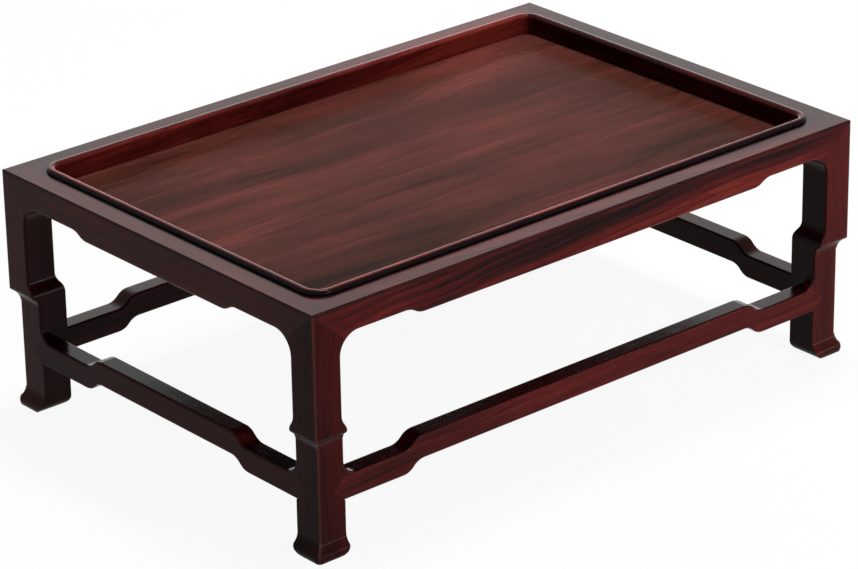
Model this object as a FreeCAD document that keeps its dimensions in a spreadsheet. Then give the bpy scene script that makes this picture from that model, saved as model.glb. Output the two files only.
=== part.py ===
import FreeCAD, Part
import os
import re
import Sketcher

# A low rectangular stand for a potted tree, built as joined hardwood furniture.
# The origin is on the floor under the middle of the stand: X runs along the long side, Y along the short.
# The frame's outer faces and the upper legs are flush. A tray panel floats inside the frame.

# Driving sizes in millimetres. Depths are measured down from the frame's flat top, heights up from the floor.
SIZES = {
    # Overall
    "stand_length": 300,
    "stand_width": 205,
    "frame_top": 109,
    # Frame rails, with the raised lip round the tray
    "lip_inset": 10.8,
    "lip_width": 3.9,
    "lip_rise": 2,
    "lip_round": 1.8,
    "lip_edge": 1.8,
    "tray_corner": 5.5,
    "tray_depth": 7.4,
    "rail_end": 12.6,
    "rail_drop": 3,
    "drop_start": 48,
    "drop_run": 10,
    "arch_radius": 9.5,
    "edge_round": 0.7,
    "saw_allowance": 2,
    # Legs
    "leg_width": 14.2,
    "set_in": 3.3,
    "lower_width": 13.8,
    "step_top": 55.3,
    "step_fall": 6,
    "step_round": 2,
    "inner_step": 53.5,
    "inner_step_run": 8.5,
    "arris_round": 1,
    # Feet
    "flare_height": 8.6,
    "toe_inset": 0.5,
    "toe_height": 4.2,
    "toe_round": 4,
    "toe_corner": 2.4,
    "sole_round": 4.5,
    # Stretchers between the lower legs
    "stretcher_low": 22.8,
    "stretcher_tall": 10.8,
    "stretcher_thick": 9,
    "hump_start": 48,
    "hump_run": 11,
    "hump_rise": 4.6,
    "shoulder_depth": 4,
    "spandrel_radius": 6.5,
    # Panel and battens
    "panel_thick": 4.5,
    "tongue_thick": 2.2,
    "tongue_down": 1.2,
    "tongue_reach": 4,
    "panel_gap": 0.25,
    "batten_inset": 85,
    "batten_width": 14,
    "batten_deep": 3.1,
    "dovetail_deep": 1.8,
    "dovetail_spread": 1,
    # Tenons, each with its place from the corner and from the outer face
    "mitre_tenon_tip": 3,
    "mitre_tenon_face": 6.5,
    "mitre_tenon_wide": 4.5,
    "mitre_tenon_top": 2.2,
    "mitre_tenon_thick": 2.4,
    "leg_tenon_near": 9,
    "leg_tenon_wide": 3,
    "leg_tenon_face": 2.5,
    "leg_tenon_thick": 3.5,
    "long_tenon_top": 4,
    "short_tenon_top": 6,
    "stretcher_tenon_long": 5.3,
    "stretcher_tenon_behind": 0.5,
    "stretcher_tenon_thick": 3.5,
    "stretcher_tenon_ledge": 2.2,
    "batten_tenon_long": 4,
    "batten_tenon_wide": 8,
    "batten_tenon_ledge": 0.5,
    # Fits
    "joint_slack": 0.1,
    "end_gap": 0.3,
}

# Sizes that follow from the driving ones
INNER_WALL = "(lip_inset + lip_width)"
BLOCK_DEPTH = f"({INNER_WALL} + tray_corner)"
LIP_CORNER = "(tray_corner + lip_width)"
RAIL_MIDDLE = "(rail_end + rail_drop)"
RAIL_LOW = f"(frame_top - {RAIL_MIDDLE} - saw_allowance)"
LOWER_INNER = "(set_in + lower_width)"
LEG_STOCK = f"({LOWER_INNER} + arch_radius)"
# How far past the inside corner the mitre runs before it meets the arch, as a share of its length so far
ARCH_SHARE = (
    "(arch_radius * (leg_width + rail_end - sqrt(2 * leg_width * rail_end))"
    " / (leg_width * leg_width + rail_end * rail_end))"
)
MITRE_REACH = f"(leg_width * (1 + {ARCH_SHARE}))"
MITRE_DEPTH = f"(rail_end * (1 + {ARCH_SHARE}))"
DROP_RADIUS = "((drop_run * drop_run + rail_drop * rail_drop) / (4 * rail_drop))"
HUMP_RADIUS = "((hump_run * hump_run + hump_rise * hump_rise) / (4 * hump_rise))"
INNER_STEP_IN = f"({LOWER_INNER} - leg_width)"
INNER_STEP_MIDDLE = f"(({LOWER_INNER} + leg_width) / 2)"
INNER_STEP_RADIUS = (
    f"((inner_step_run * inner_step_run + {INNER_STEP_IN} * {INNER_STEP_IN}) / (4 * {INNER_STEP_IN}))"
)
# The outer step is a rounded edge running into a hollow: the two radii together, and the rounded edge's share
STEP_RADII = "((set_in * set_in + step_fall * step_fall) / (2 * set_in))"
STEP_SHARE = f"(step_round / {STEP_RADII})"
HOLLOW_RADIUS = f"({STEP_RADII} - step_round)"
STEP_TURN = f"(step_top - step_fall * {STEP_SHARE})"
STEP_LOW = "(step_top - step_fall)"
TOE_END = "(toe_inset + toe_round - sqrt(toe_round * toe_round - toe_height * toe_height / 4))"
FLARE_OUT = f"(set_in - {TOE_END})"
FLARE_DROP = "(flare_height - toe_height)"
FLARE_RADIUS = f"(({FLARE_OUT} * {FLARE_OUT} + {FLARE_DROP} * {FLARE_DROP}) / (2 * {FLARE_OUT}))"
# The upright axis that the toe's corner is turned about, and how high the flare passes over it
TOE_AXIS = "(toe_inset + toe_corner)"
AXIS_IN = f"(set_in - {TOE_AXIS})"
TOE_RISE = f"(flare_height - sqrt({AXIS_IN} * (2 * {FLARE_RADIUS} - {AXIS_IN})))"
STRETCHER_TOP = "(stretcher_low + stretcher_tall)"
POINT_LONG = "(stretcher_tall / 2)"
SPANDREL_IN = "(spandrel_radius * (1 - sqrt(0.5)))"
STRETCHER_TENON_NEAR = f"({LOWER_INNER} - stretcher_tenon_long)"
STRETCHER_TENON_FACE = "(set_in + shoulder_depth + stretcher_tenon_behind)"
TONGUE_EDGE = f"({INNER_WALL} - tongue_reach)"
PANEL_TOP = "(frame_top - tray_depth)"
PANEL_LOW = f"({PANEL_TOP} - panel_thick)"
TONGUE_LOW = f"({PANEL_TOP} - tongue_down - tongue_thick)"
BATTEN_LOW = f"({PANEL_LOW} - batten_deep)"
BATTEN_TENON_TALL = "(batten_deep - 2 * batten_tenon_ledge)"

CLOSE = 1e-4
# Each origin plane with the way its normal points along the third axis
PLANES = {"XY": ("XY_Plane", 1), "XZ": ("XZ_Plane", -1), "YZ": ("YZ_Plane", 1)}

doc = FreeCAD.newDocument("stand")
sheet = doc.addObject("Spreadsheet::Sheet", "dim")
for row, (alias, size) in enumerate(SIZES.items(), start=1):
    sheet.set(f"A{row}", alias)
    sheet.set(f"B{row}", str(size))
    sheet.setAlias(f"B{row}", alias)
doc.recompute()

pieces = []


def bound(formula):
    """The formula with each size's name made a reference to its cell."""
    return re.sub(
        r"[a-z]\w*",
        lambda word: f"dim.{word.group()}" if word.group() in SIZES else word.group(),
        formula,
    )


def number(formula):
    """What the formula comes to, in millimetres."""
    return float(sheet.evalExpression(bound(formula)))


def rectangle(left, low, right, high):
    return [(left, low), (right, low), (right, high), (left, high)]


def swapped(outline):
    """The outline reflected in the diagonal, so that what ran along X runs along Y."""
    turned = []
    for place in range(len(outline) - 1, -1, -1):
        bend = outline[place - 1][2:]
        turned.append((outline[place][1], outline[place][0]) + bend)
    return turned


def both_ends(left):
    """A closed outline from its left half and that half's mirror image."""
    right = []
    for place in range(len(left) - 1, -1, -1):
        bend = left[place - 1][2:] if place > 0 else ()
        right.append((f"-({left[place][0]})", left[place][1]) + bend)
    return left + right


def far_end(outline):
    """The same outline at the other end of a piece that is centred on X = 0."""
    mirrored = []
    for place in range(len(outline) - 1, -1, -1):
        bend = outline[place - 1][2:]
        mirrored.append((f"-({outline[place][0]})", outline[place][1]) + bend)
    return mirrored


def arc_between(start, end, radius, turn):
    """A circular arc of under half a turn, and whether it runs anticlockwise from start to end."""
    chord = end - start
    half = chord.Length / 2
    rise = radius - (radius**2 - half**2) ** 0.5
    right_hand = FreeCAD.Vector(chord.y, -chord.x, 0).normalize()
    anticlockwise = turn == "left"
    middle = (start + end) * 0.5 + right_hand * (rise if anticlockwise else -rise)
    if anticlockwise:
        return Part.Arc(start, middle, end), True
    return Part.Arc(end, middle, start), False


def draw(sketch, outline):
    """Draw a closed outline whose corners and radii follow the sheet.

    A corner is (x, y), or (x, y, radius, turn) where the side that leaves it is an arc turning left or right.
    """
    places = [FreeCAD.Vector(number(corner[0]), number(corner[1]), 0) for corner in outline]
    ends = []
    for place, corner in enumerate(outline):
        start = places[place]
        end = places[(place + 1) % len(places)]
        if len(corner) > 2:
            side, forward = arc_between(start, end, number(corner[2]), corner[3])
        else:
            side, forward = Part.LineSegment(start, end), True
        line = sketch.addGeometry(side, False)
        ends.append((line, 1, 2) if forward else (line, 2, 1))
    for place, corner in enumerate(outline):
        line, first, last = ends[place]
        following, following_first, _ = ends[(place + 1) % len(ends)]
        sketch.addConstraint(Sketcher.Constraint("Coincident", line, last, following, following_first))
        for kind, formula in zip(("DistanceX", "DistanceY"), corner):
            held = sketch.addConstraint(
                Sketcher.Constraint(kind, -1, 1, line, first, number(formula))
            )
            sketch.setExpression(f"Constraints[{held}]", bound(formula))
        if len(corner) > 2:
            held = sketch.addConstraint(Sketcher.Constraint("Radius", line, number(corner[2])))
            sketch.setExpression(f"Constraints[{held}]", bound(corner[2]))


def new_piece(label, angle, x, y):
    """An empty body, turned about the upright axis and put in its place."""
    body = doc.addObject("PartDesign::Body", label)
    body.Label = label
    body.Placement = FreeCAD.Placement(FreeCAD.Vector(), FreeCAD.Rotation(FreeCAD.Vector(0, 0, 1), angle))
    body.setExpression("Placement.Base.x", bound(x))
    body.setExpression("Placement.Base.y", bound(y))
    pieces.append(body)
    return body


def new_sketch(body, plane, start):
    """An empty sketch on an origin plane, moved to start along the plane's axis."""
    role, way = PLANES[plane]
    sketch = body.newObject("Sketcher::SketchObject", f"{body.Name}_sketch")
    origin_plane = next(item for item in body.Origin.OriginFeatures if item.Role == role)
    sketch.AttachmentSupport = [(origin_plane, "")]
    sketch.MapMode = "FlatFace"
    sketch.setExpression("AttachmentOffset.Base.z", bound(f"{way} * ({start})"))
    return sketch


def extrude(body, kind, plane, start, length, outlines):
    """Pad or pocket outlines on an origin plane from start, along the plane's axis, for length."""
    before = body.Tip.Shape.Volume if body.Tip else 0
    sketch = new_sketch(body, plane, start)
    for outline in outlines:
        draw(sketch, outline)
    feature = body.newObject(f"PartDesign::{kind}", f"{body.Name}_{kind.lower()}")
    feature.Profile = (sketch, [""])
    feature.Reversed = (PLANES[plane][1] > 0) == (kind == "Pocket")
    feature.setExpression("Length", bound(length))
    feature.Refine = True
    doc.recompute()
    after = feature.Shape.Volume
    changed = after < before - CLOSE if kind == "Pocket" else after > before + CLOSE
    if not changed:
        raise RuntimeError(f"{feature.Name} leaves {body.Label} as it was")


def grow(body, plane, start, length, *outlines):
    extrude(body, "Pad", plane, start, length, outlines)


def cut(body, plane, start, length, *outlines):
    extrude(body, "Pocket", plane, start, length, outlines)


def revolve(body, axis, outline):
    """Add an outline, drawn about an upright axis this far in from both faces, turned all the way round."""
    before = body.Tip.Shape.Volume
    sketch = new_sketch(body, "XZ", axis)
    sketch.setExpression("AttachmentOffset.Base.x", bound(axis))
    draw(sketch, outline)
    feature = body.newObject("PartDesign::Revolution", f"{body.Name}_revolution")
    feature.Profile = (sketch, [""])
    feature.ReferenceAxis = (sketch, ["V_Axis"])
    feature.Refine = True
    doc.recompute()
    if feature.Shape.Volume < before + CLOSE:
        raise RuntimeError(f"{feature.Name} leaves {body.Label} as it was")


def round_off(body, radius, wanted):
    """Fillet every edge that wanted picks."""
    base = body.Tip
    names = [f"Edge{place}" for place, edge in enumerate(base.Shape.Edges, start=1) if wanted(edge)]
    fillet = body.newObject("PartDesign::Fillet", f"{body.Name}_fillet")
    fillet.Base = (base, names)
    fillet.setExpression("Radius", bound(radius))
    doc.recompute()
    if not names or fillet.Shape.isNull() or fillet.Shape.Volume > base.Shape.Volume - CLOSE:
        raise RuntimeError(f"{fillet.Name} leaves {body.Label} as it was")


def lies_on(edge, y=None, z=None):
    """Whether the whole edge lies at this y and this z."""
    box = edge.BoundBox
    on_y = y is None or max(abs(box.YMin - y), abs(box.YMax - y)) < CLOSE
    on_z = z is None or max(abs(box.ZMin - z), abs(box.ZMax - z)) < CLOSE
    return on_y and on_z


def rail(label, angle, x, y, span, tenoned):
    """A mitred frame rail: local X runs along it and local Y inward from its outer face."""
    half = f"({span} / 2)"
    body = new_piece(label, angle, x, y)
    top = number("frame_top")
    lip_top = number("frame_top + lip_rise")
    block_back = number(BLOCK_DEPTH)
    wall = number(INNER_WALL)

    # The squared blank, with its outer top edge eased
    grow(body, "XY", RAIL_LOW, f"frame_top - {RAIL_LOW}", rectangle(f"-{half}", "0", half, BLOCK_DEPTH))
    round_off(body, "edge_round", lambda edge: lies_on(edge, 0, top))

    # The raised lip, rounded outside and eased inside, with the tray opened behind it
    lip_end = f"{half} - lip_inset"
    grow(
        body, "XY", "frame_top", "lip_rise",
        both_ends([
            (f"-({lip_end})", BLOCK_DEPTH, LIP_CORNER, "left"),
            (f"-({lip_end} - {LIP_CORNER})", "lip_inset"),
        ]),
    )
    round_off(
        body, "lip_round",
        lambda edge: lies_on(edge, z=lip_top) and not lies_on(edge, block_back),
    )
    wall_end = f"{half} - {INNER_WALL}"
    cut(
        body, "XY", RAIL_LOW, f"frame_top + lip_rise - {RAIL_LOW}",
        both_ends([
            (f"-({wall_end})", BLOCK_DEPTH, "tray_corner", "left"),
            (f"-({wall_end} - tray_corner)", INNER_WALL),
        ]),
    )
    round_off(
        body, "lip_edge",
        lambda edge: lies_on(edge, z=lip_top) and edge.BoundBox.YMin > wall - CLOSE
        and not lies_on(edge, block_back),
    )

    # The mitres at the corners in plan, then the mitres, arches and dropped middle in elevation
    corner = [(f"-{half}", "0"), (f"-{half} + {BLOCK_DEPTH}", BLOCK_DEPTH), (f"-{half}", BLOCK_DEPTH)]
    cut(body, "XY", RAIL_LOW, f"frame_top + lip_rise - {RAIL_LOW}", corner, far_end(corner))
    drop = f"-{half} + drop_start"
    cut(
        body, "XZ", "0", BLOCK_DEPTH,
        both_ends([
            (f"-{half}", RAIL_LOW),
            (f"-{half}", "frame_top"),
            (f"-{half} + {MITRE_REACH}", f"frame_top - {MITRE_DEPTH}", "arch_radius", "right"),
            (f"-{half} + leg_width + arch_radius", "frame_top - rail_end"),
            (drop, "frame_top - rail_end", DROP_RADIUS, "right"),
            (f"{drop} + drop_run / 2", "frame_top - rail_end - rail_drop / 2", DROP_RADIUS, "left"),
            (f"{drop} + drop_run", f"frame_top - {RAIL_MIDDLE}"),
        ]),
    )

    face_end = number(f"{half} - leg_width")
    round_off(
        body, "arris_round",
        lambda edge: lies_on(edge, 0) and max(-edge.BoundBox.XMin, edge.BoundBox.XMax) < face_end,
    )

    # The groove for the panel's tongue
    groove_edge = f"({TONGUE_EDGE} - end_gap)"
    cut(
        body, "XY", f"{TONGUE_LOW} - joint_slack", "tongue_thick + 2 * joint_slack",
        rectangle(f"-({half} - {groove_edge})", groove_edge, f"{half} - {groove_edge}", BLOCK_DEPTH),
    )

    # The corner joint: a mitre tenon or its mortise, and the mortise for one of the leg's tenons
    tenon_far = "mitre_tenon_face + mitre_tenon_wide"
    if tenoned:
        tongue = rectangle(
            f"-{half} + mitre_tenon_tip", "mitre_tenon_face", f"-{half} + {tenon_far}", tenon_far
        )
        tenon_low = "frame_top - mitre_tenon_top - mitre_tenon_thick"
        grow(body, "XY", tenon_low, "mitre_tenon_thick", tongue, far_end(tongue))
    else:
        slot = rectangle(
            f"-{half} + mitre_tenon_face - joint_slack", "mitre_tenon_tip - end_gap",
            f"-{half} + {tenon_far} + joint_slack", f"{tenon_far} + joint_slack",
        )
        slot_low = "frame_top - mitre_tenon_top - mitre_tenon_thick - joint_slack"
        cut(body, "XY", slot_low, "mitre_tenon_thick + 2 * joint_slack", slot, far_end(slot))
    socket = rectangle(
        f"-{half} + leg_tenon_near - joint_slack", "leg_tenon_face - joint_slack",
        f"-{half} + leg_tenon_near + leg_tenon_wide + joint_slack",
        "leg_tenon_face + leg_tenon_thick + joint_slack",
    )
    tenon_top = "long_tenon_top" if tenoned else "short_tenon_top"
    cut(body, "XY", RAIL_LOW, f"frame_top - {tenon_top} + end_gap - {RAIL_LOW}", socket, far_end(socket))

    # Mortises for the battens, which only the long rails carry
    if tenoned:
        notch = rectangle(
            f"-{half} + batten_inset - batten_tenon_wide / 2 - joint_slack",
            f"{INNER_WALL} - batten_tenon_long - end_gap",
            f"-{half} + batten_inset + batten_tenon_wide / 2 + joint_slack", BLOCK_DEPTH,
        )
        notch_low = f"{BATTEN_LOW} + batten_tenon_ledge - joint_slack"
        cut(body, "XY", notch_low, f"{BATTEN_TENON_TALL} + 2 * joint_slack", notch, far_end(notch))


def leg_outline():
    """One face of a leg, from its mitred top down the outer edge, round the foot and up the inner edge."""
    return [
        ("0", "frame_top"),
        ("0", "step_top", "step_round", "left"),
        (f"set_in * {STEP_SHARE}", STEP_TURN, HOLLOW_RADIUS, "right"),
        ("set_in", STEP_LOW),
        ("set_in", "flare_height", FLARE_RADIUS, "right"),
        (TOE_END, "toe_height", "toe_round", "left"),
        (TOE_END, "0"),
        (f"{LOWER_INNER} - sole_round", "0", "sole_round", "left"),
        (LOWER_INNER, "sole_round"),
        (LOWER_INNER, "inner_step", INNER_STEP_RADIUS, "left"),
        (INNER_STEP_MIDDLE, "inner_step + inner_step_run / 2", INNER_STEP_RADIUS, "right"),
        ("leg_width", "inner_step + inner_step_run"),
        ("leg_width", "frame_top - rail_end - arch_radius", "arch_radius", "right"),
        (MITRE_REACH, f"frame_top - {MITRE_DEPTH}"),
    ]


def leg(label, angle, x, y, long_rail_on_x):
    """A leg sawn to one outline from two sides: local X and Y run inward from its two outer faces."""
    body = new_piece(label, angle, x, y)
    grow(body, "XZ", "0", LEG_STOCK, leg_outline())
    waste = rectangle(
        "-saw_allowance", "-saw_allowance", f"{LEG_STOCK} + saw_allowance", "frame_top + saw_allowance"
    )
    cut(body, "YZ", "-saw_allowance", f"{LEG_STOCK} + 2 * saw_allowance", waste, leg_outline())

    # The outer corner, eased above and below the step and turned round at the toe
    for face, low, high in (("0", STEP_TURN, "frame_top"), ("set_in", "flare_height", STEP_LOW)):
        sliver = [
            (face, face),
            (f"{face} + edge_round", face, "edge_round", "right"),
            (face, f"{face} + edge_round"),
        ]
        cut(body, "XY", low, f"{high} - {low}", sliver)
    cut(body, "XY", "0", TOE_RISE, rectangle("0", "0", TOE_AXIS, TOE_AXIS))
    revolve(
        body, TOE_AXIS,
        [
            ("0", TOE_RISE, FLARE_RADIUS, "right"),
            (f"{TOE_END} - {TOE_AXIS}", "toe_height", "toe_round", "left"),
            (f"{TOE_END} - {TOE_AXIS}", "0"),
            ("0", "0"),
        ],
    )

    # The tenons that stand up into the two rails
    tenon = rectangle(
        "leg_tenon_near", "leg_tenon_face",
        "leg_tenon_near + leg_tenon_wide", "leg_tenon_face + leg_tenon_thick",
    )
    tops = ["long_tenon_top", "short_tenon_top"]
    if not long_rail_on_x:
        tops.reverse()
    for outline, tenon_top in zip((tenon, swapped(tenon)), tops):
        grow(body, "XY", f"frame_top - {MITRE_DEPTH}", f"{MITRE_DEPTH} - {tenon_top}", outline)

    # On each face: a pointed notch, the leg's half of the spandrel above it, and the stretcher's mortise
    notch = [
        (f"{LOWER_INNER} - {POINT_LONG}", f"stretcher_low + {POINT_LONG}"),
        (LOWER_INNER, "stretcher_low"),
        (LOWER_INNER, STRETCHER_TOP),
    ]
    spandrel = [
        (LOWER_INNER, STRETCHER_TOP),
        (f"{LOWER_INNER} + {SPANDREL_IN}", f"{STRETCHER_TOP} + {SPANDREL_IN}", "spandrel_radius", "right"),
        (LOWER_INNER, f"{STRETCHER_TOP} + spandrel_radius"),
    ]
    mortise = rectangle(
        f"{STRETCHER_TENON_NEAR} - end_gap", f"{STRETCHER_TENON_FACE} - joint_slack",
        LOWER_INNER, f"{STRETCHER_TENON_FACE} + stretcher_tenon_thick + joint_slack",
    )
    for plane, opening in (("XZ", mortise), ("YZ", swapped(mortise))):
        cut(body, plane, "0", "set_in + shoulder_depth", notch)
        grow(body, plane, "set_in", "shoulder_depth", spandrel)
        cut(
            body, "XY", "stretcher_low + stretcher_tenon_ledge - joint_slack",
            "stretcher_tall - 2 * stretcher_tenon_ledge + 2 * joint_slack", opening,
        )

    # The inner edge of each face, eased from the arch down to the spandrel
    upper_inner = number("leg_width")
    lower_face = number("set_in")
    spandrel_foot = number(STRETCHER_TOP)

    def inner_arris(edge):
        box = edge.BoundBox
        on_front = box.XMin > upper_inner - CLOSE and box.YMax < lower_face + CLOSE
        on_side = box.YMin > upper_inner - CLOSE and box.XMax < lower_face + CLOSE
        return (on_front or on_side) and box.ZMin > spandrel_foot + CLOSE

    round_off(body, "arris_round", inner_arris)


def stretcher(label, angle, x, y, span):
    """A humped stretcher: local X runs along it and local Y inward from the frame's outer face."""
    half = f"({span} / 2)"
    body = new_piece(label, angle, x, y)
    shoulder = f"-{half} + {LOWER_INNER}"
    hump = f"-{half} + hump_start"
    underside = [
        (f"{hump} + hump_run", "stretcher_low + hump_rise", HUMP_RADIUS, "left"),
        (f"{hump} + hump_run / 2", "stretcher_low + hump_rise / 2", HUMP_RADIUS, "right"),
        (hump, "stretcher_low"),
        (shoulder, "stretcher_low"),
    ]
    topside = [
        (hump, STRETCHER_TOP, HUMP_RADIUS, "left"),
        (f"{hump} + hump_run / 2", f"{STRETCHER_TOP} + hump_rise / 2", HUMP_RADIUS, "right"),
        (f"{hump} + hump_run", f"{STRETCHER_TOP} + hump_rise"),
    ]
    pointed_end = [
        (f"{shoulder} - {POINT_LONG}", f"stretcher_low + {POINT_LONG}"),
        (f"{shoulder} + {SPANDREL_IN}", f"{STRETCHER_TOP} + {SPANDREL_IN}", "spandrel_radius", "left"),
        (f"{shoulder} + spandrel_radius", STRETCHER_TOP),
    ]
    square_end = [(shoulder, STRETCHER_TOP)]
    grow(body, "XZ", "set_in", "shoulder_depth", both_ends(underside + pointed_end + topside))
    grow(
        body, "XZ", "set_in + shoulder_depth", "stretcher_thick - shoulder_depth",
        both_ends(underside + square_end + topside),
    )
    tenon = rectangle(
        f"-{half} + {STRETCHER_TENON_NEAR}", STRETCHER_TENON_FACE,
        shoulder, f"{STRETCHER_TENON_FACE} + stretcher_tenon_thick",
    )
    grow(
        body, "XY", "stretcher_low + stretcher_tenon_ledge", "stretcher_tall - 2 * stretcher_tenon_ledge",
        tenon, far_end(tenon),
    )

    # All four long edges, eased between the shoulders
    front = number("set_in")
    back = number("set_in + stretcher_thick")
    free_end = number(f"{half} - {LOWER_INNER}")

    def long_edge(edge):
        box = edge.BoundBox
        between = max(-box.XMin, box.XMax) < free_end + CLOSE and box.XLength > CLOSE
        return between and (lies_on(edge, front) or lies_on(edge, back))

    round_off(body, "arris_round", long_edge)


def dovetail(centre, width, spread, low, high):
    """A dovetail's section, wider at the top."""
    return [
        (f"{centre} - {width} / 2", low),
        (f"{centre} + {width} / 2", low),
        (f"{centre} + {width} / 2 + {spread}", high),
        (f"{centre} - {width} / 2 - {spread}", high),
    ]


def panel():
    """The tray floor: a raised field inside the frame, a tongue in the rails and slots for the battens."""
    body = new_piece("panel", 0, "0", "0")

    # The tongue is notched back to the tray's walls at each corner, clear of the legs inside the frame
    tongue_end, notch_end = (f"(stand_length / 2 - {edge})" for edge in (TONGUE_EDGE, INNER_WALL))
    tongue_side, notch_side = (f"(stand_width / 2 - {edge})" for edge in (TONGUE_EDGE, INNER_WALL))
    grow(
        body, "XY", TONGUE_LOW, "tongue_thick",
        both_ends([
            (f"-{notch_end}", tongue_side),
            (f"-{notch_end}", notch_side),
            (f"-{tongue_end}", notch_side),
            (f"-{tongue_end}", f"-{notch_side}"),
            (f"-{notch_end}", f"-{notch_side}"),
            (f"-{notch_end}", f"-{tongue_side}"),
        ]),
    )
    end = f"(stand_length / 2 - {INNER_WALL} - panel_gap)"
    side = f"(stand_width / 2 - {INNER_WALL} - panel_gap)"
    grow(
        body, "XY", PANEL_LOW, "panel_thick",
        both_ends([
            (f"-({end} - tray_corner)", side, "tray_corner", "left"),
            (f"-{end}", f"{side} - tray_corner"),
            (f"-{end}", f"-({side} - tray_corner)", "tray_corner", "left"),
            (f"-({end} - tray_corner)", f"-{side}"),
        ]),
    )
    slot = dovetail(
        "-(stand_length / 2 - batten_inset)", "(batten_width - 2 * dovetail_spread + 2 * joint_slack)",
        "dovetail_spread", PANEL_LOW, f"{PANEL_LOW} + dovetail_deep + joint_slack",
    )
    cut(body, "XZ", "-stand_width / 2", "stand_width", slot, far_end(slot))


def batten(label, way):
    """A cross batten slid into the panel's underside, with a tenon into each long rail."""
    body = new_piece(label, 0, f"{way} * (stand_length / 2 - batten_inset)", "0")
    reach = f"(stand_width / 2 - {INNER_WALL} - panel_gap)"
    neck = "(batten_width - 2 * dovetail_spread)"
    grow(
        body, "XZ", f"-{reach}", f"2 * {reach}",
        dovetail("0", neck, "dovetail_spread", PANEL_LOW, f"{PANEL_LOW} + dovetail_deep"),
    )
    grow(
        body, "XZ", f"-{reach}", f"2 * {reach}",
        rectangle("-batten_width / 2", BATTEN_LOW, "batten_width / 2", PANEL_LOW),
    )
    tenon_reach = f"(stand_width / 2 - {INNER_WALL} + batten_tenon_long)"
    grow(
        body, "XZ", f"-{tenon_reach}", f"2 * {tenon_reach}",
        rectangle(
            "-batten_tenon_wide / 2", f"{BATTEN_LOW} + batten_tenon_ledge",
            "batten_tenon_wide / 2", f"{PANEL_LOW} - batten_tenon_ledge",
        ),
    )


# Each side of the stand with its turn about the upright axis and the middle of its outer face
SIDES = {
    "front": (0, "0", "-stand_width / 2", "stand_length"),
    "right": (90, "stand_length / 2", "0", "stand_width"),
    "back": (180, "0", "stand_width / 2", "stand_length"),
    "left": (270, "-stand_length / 2", "0", "stand_width"),
}
CORNERS = {
    "front_left": (0, "-stand_length / 2", "-stand_width / 2"),
    "front_right": (90, "stand_length / 2", "-stand_width / 2"),
    "back_right": (180, "stand_length / 2", "stand_width / 2"),
    "back_left": (270, "-stand_length / 2", "stand_width / 2"),
}
for side, (turn, x, y, span) in SIDES.items():
    rail(f"rail_{side}", turn, x, y, span, tenoned=side in ("front", "back"))
    stretcher(f"stretcher_{side}", turn, x, y, span)
for corner, (turn, x, y) in CORNERS.items():
    leg(f"leg_{corner}", turn, x, y, long_rail_on_x=corner in ("front_left", "back_right"))
panel()
batten("batten_left", -1)
batten("batten_right", 1)
doc.recompute()

for item in doc.Objects:
    if "Invalid" in item.State or "Error" in item.State:
        raise RuntimeError(f"{item.Name} failed: {item.State}")
for body in pieces:
    if body.Shape.isNull() or not body.Shape.isValid():
        raise RuntimeError(f"{body.Label} has no valid shape")
os.makedirs("parts", exist_ok=True)
for body in pieces:
    body.Shape.exportStep(f"parts/{body.Label}.step")
    print(f"{body.Label}: {len(body.Shape.Solids)} solid, {body.Shape.Volume:.1f} mm3")
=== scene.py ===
import math
from typing import NamedTuple

import bpy
from mathutils import Matrix, Vector


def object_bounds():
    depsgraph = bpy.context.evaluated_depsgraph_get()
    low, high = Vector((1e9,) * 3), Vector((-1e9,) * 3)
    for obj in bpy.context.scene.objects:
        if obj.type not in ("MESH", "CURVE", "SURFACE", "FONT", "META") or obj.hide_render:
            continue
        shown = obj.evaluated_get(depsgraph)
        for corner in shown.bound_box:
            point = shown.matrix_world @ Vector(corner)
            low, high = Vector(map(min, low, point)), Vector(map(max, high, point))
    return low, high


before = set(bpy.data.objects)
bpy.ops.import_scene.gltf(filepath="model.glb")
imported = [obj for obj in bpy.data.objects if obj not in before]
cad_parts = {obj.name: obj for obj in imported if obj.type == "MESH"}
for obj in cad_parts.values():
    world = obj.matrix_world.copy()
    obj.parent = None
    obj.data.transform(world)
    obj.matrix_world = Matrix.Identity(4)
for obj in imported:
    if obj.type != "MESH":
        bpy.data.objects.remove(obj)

# The stand's looks: dark rosewood under a satin lacquer, on a pale floor in soft light.
# Lengths are in metres, in the stand's own frame.
cad_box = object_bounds()

# The lip rises this far above the frame's flat top.
LIP_RISE = 0.002
FRAME_TOP = cad_box[1].z - LIP_RISE

# The photograph's frame and its viewing angle
IMAGE_WIDTH = 858
FOCAL_PIXELS = 3972
SENSOR_WIDTH = 36
CAMERA_AZIMUTH = math.radians(-40.59)
CAMERA_ELEVATION = math.radians(23.91)
CAMERA_ROLL = math.radians(-0.97)
CAMERA_DISTANCE = 1.5515
LOOK_AT = Vector((-0.0975, -0.1110, FRAME_TOP + 0.0004))

# How far the camera sees
CAMERA_REACH = 20

# The lip round the tray turns its corners about points this far in from the outer faces, and its crest has
# this radius there.
LIP_TURN_IN = 0.0202
LIP_TURN = cad_box[1] - Vector((LIP_TURN_IN, LIP_TURN_IN, 0))
LIP_CREST = 0.0082

# Painted shade in black covers the lip's outer side and lies at half strength on the frame's flat top.
PAINTED_SHADE_COLOUR = (0.004, 0.0012, 0.0018, 1)
SHADE_FADE = 0.0004
SHADE_LOW = FRAME_TOP - SHADE_FADE / 2

# Round the lip's foot it stays full to this radius about the same points, and then fades.
FOOT_RADIUS = 0.0102
FOOT_FADE = 0.004

# On the frame's outer top edge it has this share, this deep from the outer faces, and starts and is full at
# these heights.
EDGE_SHARE = 0.75
EDGE_DEPTH = 0.001
EDGE_FADE = 0.0006
EDGE_LOW = FRAME_TOP - 0.0016
EDGE_HIGH = FRAME_TOP - 0.0008

# A face's normal times its place is below zero where it looks inwards: painted shade there starts and is full
# at these.
INSIDE_START = -0.03
INSIDE_FULL = -0.07
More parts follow.
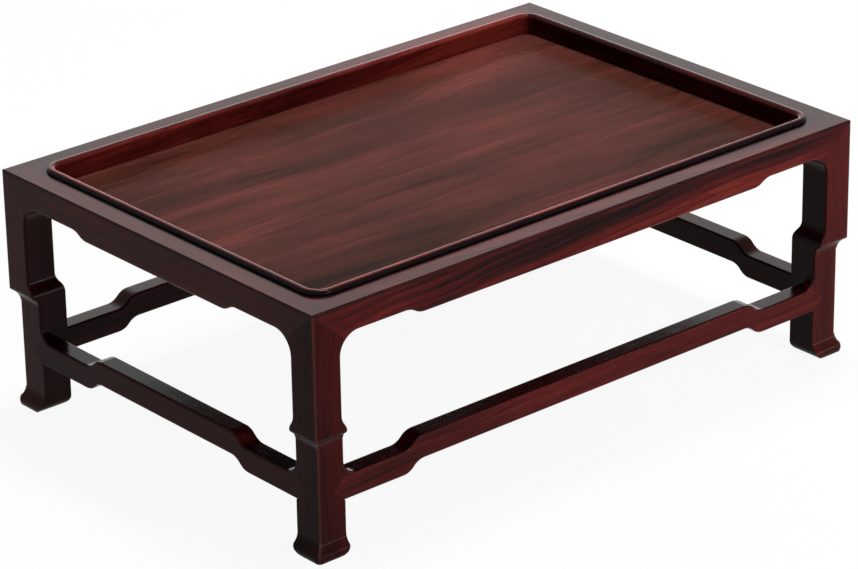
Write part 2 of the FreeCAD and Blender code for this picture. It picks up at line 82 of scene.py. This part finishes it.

# On upper faces painted shade starts and is full at these values of the normal's upright part.
UPPER_START = 0.5
UPPER_FULL = 0.9

# A painted highlight runs down a leg's outer corner, fading out this far to each side, and this deep from the
# outer faces.
ARRIS_HIGHLIGHT_COLOUR = (0.12, 0.05, 0.04, 1)
ARRIS_WIDTH = 0.0016
ARRIS_DEPTH = 0.007
ARRIS_FADE = 0.001

# Where a rail's painted shade under its top starts on its face, where it is darkest, where it ends under the
# top, and how much of it is left at the rail's left end
TOP_SHADE_LOW = FRAME_TOP - 0.014
TOP_SHADE_HIGH = FRAME_TOP - 0.003
TOP_SHADE_END = FRAME_TOP - 0.0005
TOP_SHADE_LEFT = 0.25

# A rail's figure fades towards one tone over this run before its mitred ends.
END_RUN = 0.035
END_TONE = 0.58

# Each grain direction with the turn that lays it along X, and how far each seed moves the figure
QUARTER_TURN = math.radians(90)
GRAIN_TURNS = {"x": (0, 0, 0), "y": (0, 0, QUARTER_TURN), "z": (0, QUARTER_TURN, 0)}
SEED_STEPS = (0.61, 0.037, 0.053)

# The grain's slow bends: a noise, less its middle, times this reach along and across the grain
NOISE_MIDDLE = (0.5, 0.5, 0.5)
BEND_REACH = (0, 0.022, 0.022)

# Nearly all of a noise lies between these.
NOISE_LOW = 0.3
NOISE_HIGH = 0.7

# A wave texture turns through this many radians in each unit; its rings are a little distorted.
WAVE_RADIANS = 20
RING_DISTORTION = 1.5
RING_DETAIL = 2
RING_DETAIL_SCALE = 0.6
RING_DETAIL_ROUGHNESS = 0.5

# Veins and pores start and are full at these values of their noise.
VEIN_START = 0.52
VEIN_FULL = 0.68
PORE_START = 0.6
PORE_FULL = 0.72

# A pore has this share of this colour.
PORE_SHARE = 0.5
PORE_COLOUR = (0.006, 0.002, 0.002, 1)

# The pores are sunk and dull the lacquer, and the streaks stand out a little.
PORE_ROUGHNESS = 0.1
STREAK_RELIEF = 0.3
RELIEF_STRENGTH = 0.06
RELIEF_DEPTH = 0.00005

# The floor's half size, its colour as seen and as it lights the stand, and its lift to white
FLOOR_HALF = 6
FLOOR_SEEN = (0.96, 0.92, 0.95, 1)
FLOOR_BOUNCE = (0.2, 0.19, 0.195, 1)
FLOOR_LIFT = 0.92

# The world's light on the stand, and the colour of the world and the lift
WORLD_LIGHT = 0.08
WHITE = (1, 1, 1, 1)

# The sockets of a mix node that mixes colours
MIX_SHARE = 0
MIX_FIRST = 6
MIX_SECOND = 7
MIX_RESULT = 2


class Noise(NamedTuple):
    """A noise's cells for each metre along and across the grain, and its finer detail."""

    along: float
    across: float
    detail: float
    roughness: float = 0.5


# The noises of the grain's marks, and of how the lacquer was handled; a look sets how fine its veins are.
BENDS = Noise(6, 18, detail=2)
BANDS = Noise(4, 60, detail=3)
STREAKS = Noise(14, 700, detail=4, roughness=0.6)
PATCHES = Noise(9, 16, detail=2)
PORES = Noise(90, 2600, detail=2, roughness=0.4)
HANDLING = Noise(18, 18, detail=3)
VEIN_ALONG = 3
VEIN_DETAIL = 2


class Nodes:
    """A material's or world's node tree, with short ways to add and join nodes."""

    def __init__(self, owner):
        owner.use_nodes = True
        self.tree = owner.node_tree
        self.tree.nodes.clear()

    def add(self, kind, inputs=None, **settings):
        """A new node: each input is joined to the socket that is given for it, or else set to the value."""
        node = self.tree.nodes.new(kind)
        for name, value in settings.items():
            setattr(node, name, value)
        for name, value in (inputs or {}).items():
            if isinstance(value, bpy.types.NodeSocket):
                self.tree.links.new(value, node.inputs[name])
            else:
                node.inputs[name].default_value = value
        return node

    def moved(self, place, **settings):
        """The place turned, moved or scaled by a mapping node's settings."""
        return self.add("ShaderNodeMapping", {"Vector": place, **settings}).outputs[0]

    def noise(self, place, noise):
        """The noise's outputs, with the grain along X."""
        mapped = self.moved(place, Scale=(noise.along, noise.across, noise.across))
        return self.add(
            "ShaderNodeTexNoise",
            {"Vector": mapped, "Scale": 1, "Detail": noise.detail, "Roughness": noise.roughness},
        ).outputs

    def math(self, operation, first, second=0):
        return self.add("ShaderNodeMath", {0: first, 1: second}, operation=operation).outputs[0]

    def vector(self, operation, first, second=(0, 0, 0)):
        return self.add("ShaderNodeVectorMath", {0: first, 1: second}, operation=operation).outputs["Vector"]

    def length(self, vector):
        return self.add("ShaderNodeVectorMath", {0: vector}, operation="LENGTH").outputs["Value"]

    def axes(self, vector):
        """The vector's parts by the axis names X, Y and Z."""
        return self.add("ShaderNodeSeparateXYZ", {"Vector": vector}).outputs

    def spread(self, value, low, high, to_low=0, to_high=1):
        """The value stretched from one range to another, and clipped to it."""
        return self.add(
            "ShaderNodeMapRange",
            {"Value": value, "From Min": low, "From Max": high, "To Min": to_low, "To Max": to_high},
        ).outputs[0]

    def ramp(self, value, stops):
        """The colour at the value, between the stops' places and colours."""
        node = self.add("ShaderNodeValToRGB", {"Fac": value})
        elements = node.color_ramp.elements
        while len(elements) < len(stops):
            elements.new(1)
        for element, (place, colour) in zip(elements, stops):
            element.position = place
            element.color = (*colour, 1)
        return node.outputs["Color"]

    def mix(self, share, first, second):
        """The first colour, with this share of the second."""
        inputs = {MIX_SHARE: share, MIX_FIRST: first, MIX_SECOND: second}
        return self.add("ShaderNodeMix", inputs, data_type="RGBA").outputs[MIX_RESULT]


# Rosewood colours, from black veins to the reddest bands: red for the frame, browner for the panel
RED_STOPS = (
    (0.0, (0.006, 0.0020, 0.0026)),
    (0.3, (0.022, 0.0034, 0.0036)),
    (0.55, (0.068, 0.0070, 0.0062)),
    (0.8, (0.125, 0.0120, 0.0100)),
    (1.0, (0.200, 0.0240, 0.0170)),
)
BROWN_STOPS = (
    (0.0, (0.020, 0.0085, 0.0055)),
    (0.3, (0.044, 0.0135, 0.0085)),
    (0.55, (0.070, 0.0195, 0.0140)),
    (0.8, (0.104, 0.0260, 0.0210)),
    (1.0, (0.150, 0.0360, 0.0290)),
)


class Look(NamedTuple):
    """How one piece was sawn and lacquered, and its painted shade and highlight: lengths in metres, and how
    much it has of each kind of mark.
    """

    grain: str
    seed: int = 0
    tone: float = 0.55
    ring_pitch: float = 0.006
    ring_share: float = 0.08
    band_share: float = 0.12
    streak_share: float = 0.12
    patch_share: float = 0.1
    vein_pitch: float = 0.012
    vein_share: float = 0.15
    # The share of painted shade under a rail's top
    heart_share: float = 0
    drift_share: float = 0
    end_share: float = 0
    # The shares of a painted highlight down a leg's outer corner, and of painted shade on faces that look
    # inwards and on those that look up
    arris_highlight_share: float = 0
    inner_shade_share: float = 0
    upper_shade_share: float = 0
    lean: float = math.radians(2)
    stops: tuple = RED_STOPS
    ior: float = 1.14
    smooth: float = 0.14
    dull: float = 0.22


class Places(NamedTuple):
    """The sockets that a piece's marks are drawn from."""

    stand: bpy.types.NodeSocket  # in the stand's own frame
    normal: bpy.types.NodeSocket  # the face's direction there
    along: bpy.types.NodeSocket  # how far along the grain from the stand's middle
    sawn: bpy.types.NodeSocket  # with the grain along X, leaned and moved by the look
    bend: bpy.types.NodeSocket  # how far the grain's slow bends go aside
    bent: bpy.types.NodeSocket  # sawn and bent, for the rings, bands, streaks and veins


def sawn_places(nodes, look):
    coordinates = nodes.add("ShaderNodeTexCoord").outputs
    stand = coordinates["Object"]
    squared = nodes.moved(stand, Rotation=GRAIN_TURNS[look.grain])
    seed_move = [look.seed * step for step in SEED_STEPS]
    sawn = nodes.moved(squared, Rotation=(0, look.lean, look.lean), Location=seed_move)
    from_middle = nodes.vector("SUBTRACT", nodes.noise(sawn, BENDS)["Color"], NOISE_MIDDLE)
    bend = nodes.vector("MULTIPLY", from_middle, BEND_REACH)
    bent = nodes.vector("ADD", sawn, bend)
    return Places(stand, coordinates["Normal"], nodes.axes(squared)["X"], sawn, bend, bent)


def growth_rings(nodes, look, places):
    """Rings round the grain, each rising from 0 to 1."""
    inputs = {
        "Vector": places.bent,
        "Scale": math.tau / (WAVE_RADIANS * look.ring_pitch),
        "Distortion": RING_DISTORTION,
        "Detail": RING_DETAIL,
        "Detail Scale": RING_DETAIL_SCALE,
        "Detail Roughness": RING_DETAIL_ROUGHNESS,
    }
    wave = nodes.add("ShaderNodeTexWave", inputs, wave_type="RINGS", rings_direction="X", wave_profile="SAW")
    return wave.outputs["Fac"]


def top_painted_shade(nodes, look, places):
    """Painted shade: a dark layer under the frame's top, with a bent lower side, that thins out towards the
    left.
    """
    bent_height = nodes.axes(nodes.vector("ADD", places.stand, places.bend))["Z"]
    height = nodes.axes(places.stand)["Z"]
    rising = nodes.spread(bent_height, TOP_SHADE_LOW, TOP_SHADE_HIGH, 0, look.heart_share)
    ending = nodes.spread(height, TOP_SHADE_HIGH, TOP_SHADE_END, look.heart_share, 0)
    to_left = nodes.spread(places.along, cad_box[0].x, 0, TOP_SHADE_LEFT, 1)
    return nodes.math("MULTIPLY", nodes.math("MINIMUM", rising, ending), to_left)


def even_ends(nodes, look, places, figure):
    """The figure, faded to one tone towards a rail's ends."""
    reach = cad_box[1].y if look.grain == "y" else cad_box[1].x
    from_middle = nodes.math("ABSOLUTE", places.along)
    by_end = nodes.spread(from_middle, reach - END_RUN, reach, 0, look.end_share)
    to_tone = nodes.math("SUBTRACT", END_TONE, figure)
    return nodes.math("ADD", figure, nodes.math("MULTIPLY", by_end, to_tone))


def wood_figure(nodes, look, places, streaks):
    """The place among the look's colours, where 0 is the darkest and 1 the lightest."""
    rings = growth_rings(nodes, look, places)
    bands = nodes.noise(places.bent, BANDS)["Fac"]
    patches = nodes.noise(places.sawn, PATCHES)["Fac"]
    figure = nodes.spread(rings, 0, 1, look.tone - look.ring_share, look.tone + look.ring_share)
    layers = ((bands, look.band_share), (streaks, look.streak_share), (patches, look.patch_share))
    for layer, share in layers:
        figure = nodes.math("ADD", figure, nodes.spread(layer, NOISE_LOW, NOISE_HIGH, -share, share))

    # Black veins, long and narrow, only here and there
    veins = nodes.noise(places.bent, Noise(VEIN_ALONG, 1 / look.vein_pitch, VEIN_DETAIL))["Fac"]
    figure = nodes.math("SUBTRACT", figure, nodes.spread(veins, VEIN_START, VEIN_FULL, 0, look.vein_share))
    # Painted shade under a rail's top
    figure = nodes.math("SUBTRACT", figure, top_painted_shade(nodes, look, places))

    # A slow change of tone from the stand's left to its right
    drift = nodes.spread(places.along, cad_box[0].x, cad_box[1].x, -look.drift_share, look.drift_share)
    figure = nodes.math("ADD", figure, drift)
    return even_ends(nodes, look, places, figure)


def from_outer_faces(nodes, places):
    """How far in a place is from the stand's outer faces, by axis."""
    return nodes.axes(nodes.vector("SUBTRACT", cad_box[1], nodes.vector("ABSOLUTE", places.stand)))


def frame_painted_shade(nodes, places):
    """Painted shade: 1 on the lip's outer side and foot, half on the flat top, more on the outer top edge, 0
    elsewhere.
    """
    height = nodes.axes(places.stand)["Z"]
    past_turn = nodes.vector("SUBTRACT", nodes.vector("ABSOLUTE", places.stand), LIP_TURN)
    radius = nodes.length(nodes.vector("MAXIMUM", past_turn))
    outside = nodes.spread(radius, LIP_CREST, LIP_CREST + SHADE_FADE)
    above = nodes.spread(height, SHADE_LOW, SHADE_LOW + SHADE_FADE)
    side = nodes.math("MULTIPLY", outside, above)

    on_top = nodes.spread(height, SHADE_LOW - SHADE_FADE, SHADE_LOW)
    by_foot = nodes.spread(radius, FOOT_RADIUS, FOOT_RADIUS + FOOT_FADE, 1, 0)
    foot = nodes.math("MULTIPLY", nodes.math("MULTIPLY", by_foot, on_top), outside)

    depth = from_outer_faces(nodes, places)
    nearest = nodes.math("MINIMUM", depth["X"], depth["Y"])
    by_edge = nodes.spread(nearest, EDGE_DEPTH - EDGE_FADE, EDGE_DEPTH, EDGE_SHARE, 0)
    edge = nodes.math("MULTIPLY", by_edge, nodes.spread(height, EDGE_LOW, EDGE_HIGH))
    return nodes.math("MAXIMUM", side, nodes.math("MAXIMUM", foot, edge))


def inner_painted_shade(nodes, places):
    """Painted shade: 1 on the faces that look in under the stand, and 0 on those that look out, up or down.
    """
    outward = nodes.axes(nodes.vector("MULTIPLY", places.normal, places.stand))
    return nodes.spread(nodes.math("MINIMUM", outward["X"], outward["Y"]), INSIDE_START, INSIDE_FULL)


def upper_painted_shade(nodes, places):
    """Painted shade: 1 on the faces that look up, fading to 0 on steep ones."""
    return nodes.spread(nodes.axes(places.normal)["Z"], UPPER_START, UPPER_FULL)


def outer_arris(nodes, places):
    """Painted highlight: 1 along a leg's outer corner, fading to 0 on the faces beside it."""
    depth = from_outer_faces(nodes, places)
    deeper = nodes.math("MAXIMUM", depth["X"], depth["Y"])
    nearer = nodes.math("MINIMUM", depth["X"], depth["Y"])
    beside = nodes.spread(nodes.math("SUBTRACT", deeper, nearer), 0, ARRIS_WIDTH, 1, 0)
    outer = nodes.spread(depth["X"], ARRIS_DEPTH, ARRIS_DEPTH + ARRIS_FADE, 1, 0)
    return nodes.math("MULTIPLY", beside, outer)


def with_painted_light(nodes, look, places, colour):
    """The wood's colour under black painted shade, and with a painted highlight down a leg's outer corner."""
    painted_marks = (
        (frame_painted_shade, 1, PAINTED_SHADE_COLOUR),
        (inner_painted_shade, look.inner_shade_share, PAINTED_SHADE_COLOUR),
        (upper_painted_shade, look.upper_shade_share, PAINTED_SHADE_COLOUR),
        (outer_arris, look.arris_highlight_share, ARRIS_HIGHLIGHT_COLOUR),
    )
    for mask, share, painted_colour in painted_marks:
        colour = nodes.mix(nodes.math("MULTIPLY", mask(nodes, places), share), colour, painted_colour)
    return colour


def rosewood(name, look):
    """Lacquered rosewood with its grain along one axis; the look's seed moves its figure."""
    material = bpy.data.materials.new(name)
    nodes = Nodes(material)
    places = sawn_places(nodes, look)
    streaks = nodes.noise(places.bent, STREAKS)["Fac"]
    colour = nodes.ramp(wood_figure(nodes, look, places, streaks), look.stops)

    # Open pores: short dark dashes along the grain, slightly sunk
    pores = nodes.spread(nodes.noise(places.sawn, PORES)["Fac"], PORE_START, PORE_FULL)
    colour = nodes.mix(nodes.math("MULTIPLY", pores, PORE_SHARE), colour, PORE_COLOUR)
    # Painted shade, and a painted highlight down a leg's outer corner
    colour = with_painted_light(nodes, look, places, colour)
    relief = nodes.math("SUBTRACT", nodes.math("MULTIPLY", streaks, STREAK_RELIEF), pores)
    bump = nodes.add(
        "ShaderNodeBump", {"Strength": RELIEF_STRENGTH, "Distance": RELIEF_DEPTH, "Height": relief}
    )

    # The lacquer is smooth, a little duller over the pores and where it has been handled
    handled = nodes.noise(places.stand, HANDLING)["Fac"]
    roughness = nodes.math(
        "ADD",
        nodes.spread(handled, NOISE_LOW, NOISE_HIGH, look.smooth, look.dull),
        nodes.math("MULTIPLY", pores, PORE_ROUGHNESS),
    )
    shader = nodes.add(
        "ShaderNodeBsdfPrincipled",
        {"Base Color": colour, "Roughness": roughness, "Normal": bump.outputs[0], "IOR": look.ior},
    )
    nodes.add("ShaderNodeOutputMaterial", {"Surface": shader.outputs[0]})
    return material


LONG_RAIL = Look("x", band_share=0.24, streak_share=0.2, vein_share=0.3, end_share=1)
# Legs carry a painted highlight down the outer corner and painted shade on their inner faces.
LEG = Look("z", ring_share=0.04, band_share=0.08, streak_share=0.1, arris_highlight_share=0.7, inner_shade_share=0.7)
LOOKS = {
    # The front rail carries painted shade under its top.
    "rail_front": LONG_RAIL._replace(
        seed=1, tone=0.74, ring_pitch=0.004, ring_share=0.16, heart_share=0.4, drift_share=-0.1
    ),
    "rail_back": LONG_RAIL._replace(seed=2, tone=0.84, drift_share=0.3),
    "rail_left": Look("y", seed=3, tone=0.85, end_share=1),
    "rail_right": Look("y", seed=4, tone=0.40, end_share=0.5),
    # The front and left stretchers carry painted shade on their upper faces.
    "stretcher_front": Look("x", seed=5, tone=0.68, streak_share=0.16, upper_shade_share=0.7),
    "stretcher_back": Look("x", seed=6, tone=0.44),
    "stretcher_left": Look("y", seed=7, tone=0.68, upper_shade_share=0.7, ior=1.125),
    "stretcher_right": Look("y", seed=8, tone=0.44, ior=1.125),
    "leg_front_left": LEG._replace(
        seed=9, tone=0.54, ring_share=0.03, band_share=0.06, streak_share=0.07, ior=1.115
    ),
    "leg_front_right": LEG._replace(seed=10, tone=0.62),
    "leg_back_right": LEG._replace(seed=11, tone=0.44),
    "leg_back_left": LEG._replace(seed=12, tone=0.64, band_share=0.1),
    "panel": Look(
        "x", seed=18, tone=0.64, ring_pitch=0.016, ring_share=0.1, band_share=0.2, patch_share=0.3,
        vein_pitch=0.008, vein_share=0.24, stops=BROWN_STOPS, ior=1.038, smooth=0.2, dull=0.28,
    ),
    "batten_left": Look("y", seed=14),
    "batten_right": Look("y", seed=15),
}
for piece, look in LOOKS.items():
    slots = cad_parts[piece].data.materials
    slots.clear()
    slots.append(rosewood(f"rosewood_{piece}", look))


def placed(name, data):
    """A new object in the scene with this data."""
    made = bpy.data.objects.new(name, data)
    bpy.context.scene.collection.objects.link(made)
    return made


def seen_directly(nodes):
    """1 for rays that show the background itself, straight or in gloss or glass, and 0 for its light."""
    path = nodes.add("ShaderNodeLightPath").outputs
    shown = nodes.math("MAXIMUM", path["Is Camera Ray"], path["Is Glossy Ray"])
    return nodes.math("MAXIMUM", shown, path["Is Transmission Ray"])


def white_floor():
    """A wide pale floor, lifted to near white where it is seen, which leaves a faint shadow on it."""
    mesh = bpy.data.meshes.new("floor")
    corners = [(side * FLOOR_HALF, end * FLOOR_HALF, 0) for side, end in ((-1, -1), (1, -1), (1, 1), (-1, 1))]
    mesh.from_pydata(corners, [], [range(len(corners))])
    floor = placed("floor", mesh)
    material = bpy.data.materials.new("floor_paper")
    nodes = Nodes(material)
    seen = seen_directly(nodes)
    paper = nodes.add("ShaderNodeBsdfDiffuse", {"Color": nodes.mix(seen, FLOOR_BOUNCE, FLOOR_SEEN)})
    white = nodes.add("ShaderNodeEmission", {"Color": WHITE, "Strength": 1})
    lift = nodes.math("MULTIPLY", seen, FLOOR_LIFT)
    both = nodes.add("ShaderNodeMixShader", {0: lift, 1: paper.outputs[0], 2: white.outputs[0]})
    nodes.add("ShaderNodeOutputMaterial", {"Surface": both.outputs[0]})
    mesh.materials.append(material)


def white_world():
    """A world that is white where it is seen, and gives a dim even light."""
    world = bpy.data.worlds.new("studio")
    bpy.context.scene.world = world
    nodes = Nodes(world)
    strength = nodes.spread(seen_directly(nodes), 0, 1, WORLD_LIGHT, 1)
    sky = nodes.add("ShaderNodeBackground", {"Color": WHITE, "Strength": strength})
    nodes.add("ShaderNodeOutputWorld", {"Surface": sky.outputs[0]})


class Softbox(NamedTuple):
    """A rectangular lamp: its place, its size, its power in watts and the place that it faces."""

    place: tuple
    width: float
    height: float
    power: float
    target: tuple = (0, 0, 0.1)


SOFTBOXES = {
    "backlight": Softbox((1.3, 1.5, 0.95), width=2.4, height=1.3, power=13),
    "overhead": Softbox((0.25, 0.1, 1.3), width=0.4, height=0.4, power=13),
    "reflector": Softbox((0.35, -1.2, 0.03), width=1.6, height=0.06, power=6, target=(0.1, 0, 0.03)),
    "front_fill": Softbox((0.25, -1.5, 1.1), width=0.2, height=0.2, power=10),
    "rim": Softbox((1.2, 1.36, 0.28), width=1.2, height=0.3, power=3.5),
}


def hang_softbox(name, softbox):
    lamp = bpy.data.lights.new(name, "AREA")
    lamp.shape = "RECTANGLE"
    lamp.size = softbox.width
    lamp.size_y = softbox.height
    lamp.energy = softbox.power
    light = placed(name, lamp)
    light.location = softbox.place
    facing = Vector(softbox.target) - Vector(softbox.place)
    light.rotation_euler = facing.to_track_quat("-Z", "Y").to_euler()


def photo_camera():
    """The camera at the photograph's viewing angle, with the photograph's slight roll."""
    lens = bpy.data.cameras.new("photo_camera")
    lens.sensor_fit = "HORIZONTAL"
    lens.sensor_width = SENSOR_WIDTH
    lens.lens = SENSOR_WIDTH * FOCAL_PIXELS / IMAGE_WIDTH
    lens.clip_end = CAMERA_REACH
    camera = placed("photo_camera", lens)
    backward = Vector((
        math.sin(CAMERA_AZIMUTH) * math.cos(CAMERA_ELEVATION),
        -math.cos(CAMERA_AZIMUTH) * math.cos(CAMERA_ELEVATION),
        math.sin(CAMERA_ELEVATION),
    ))
    turn = backward.to_track_quat("Z", "Y").to_matrix() @ Matrix.Rotation(CAMERA_ROLL, 3, "Z")
    camera.location = LOOK_AT + backward * CAMERA_DISTANCE
    camera.rotation_euler = turn.to_euler()
    bpy.context.scene.camera = camera


white_floor()
white_world()
for name, softbox in SOFTBOXES.items():
    hang_softbox(name, softbox)
photo_camera()
bpy.context.scene.view_settings.view_transform = "Standard"
